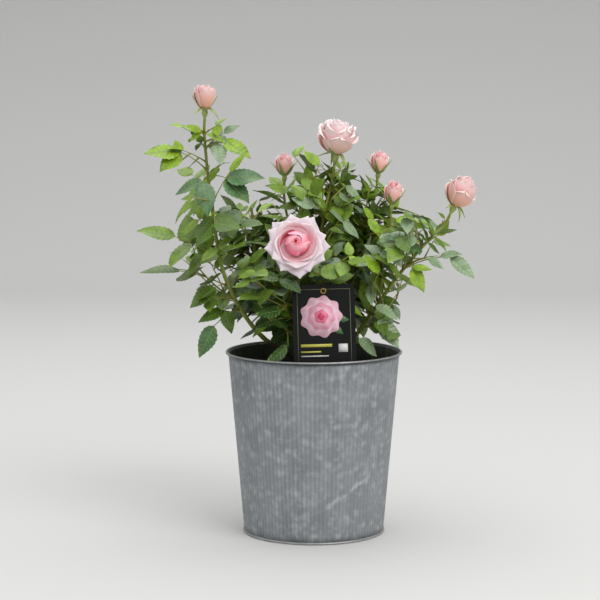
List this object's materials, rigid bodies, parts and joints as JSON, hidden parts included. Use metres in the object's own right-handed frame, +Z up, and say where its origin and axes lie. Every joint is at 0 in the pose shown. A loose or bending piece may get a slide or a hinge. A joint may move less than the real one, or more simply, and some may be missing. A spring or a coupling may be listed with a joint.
{
  "type": "potted rose bush",
  "caption": "Patio rose bush with pink double blooms and buds, open leafy crown on slim green canes, standing in a ribbed zinc pot with a plant label.",
  "frame": {"origin": "centre of the pot's flat underside", "axes": "+Z up from the surface that the pot stands on, the front with the plant label and the open bloom faces -Y, +X is to the right seen from the front"},
  "size_m": [0.3687, 0.2694, 0.5016],
  "materials": {
    "galvanised_zinc": "dull ribbed zinc with white oxide mottling",
    "compost": "matt crumbly compost",
    "bark": "smooth green young bark with small prickles",
    "leaves": "satin green leaves",
    "petals": "soft matt pale pink petals",
    "label_card": "glossy black printed card"
  },
  "bodies": {
    "root": {"pot": "galvanised_zinc", "compost": "compost", "root_crown": "bark", "plant_label": "label_card", "cane_left": "bark", "cane_front": "bark", "cane_middle": "bark", "cane_right": "bark", "cane_rear_right": "bark", "cane_rear_left": "bark", "cane_rear": "bark", "foliage_left": "leaves", "foliage_front": "leaves", "foliage_middle": "leaves", "foliage_right": "leaves", "foliage_rear_right": "leaves", "foliage_rear_left": "leaves", "foliage_rear": "leaves", "open_rose": "petals", "opening_rose": "petals", "tall_bud": "petals", "right_bud": "petals", "small_bud_left": "petals", "small_bud_high": "petals", "small_bud_low": "petals"}
  },
  "joints": []
}
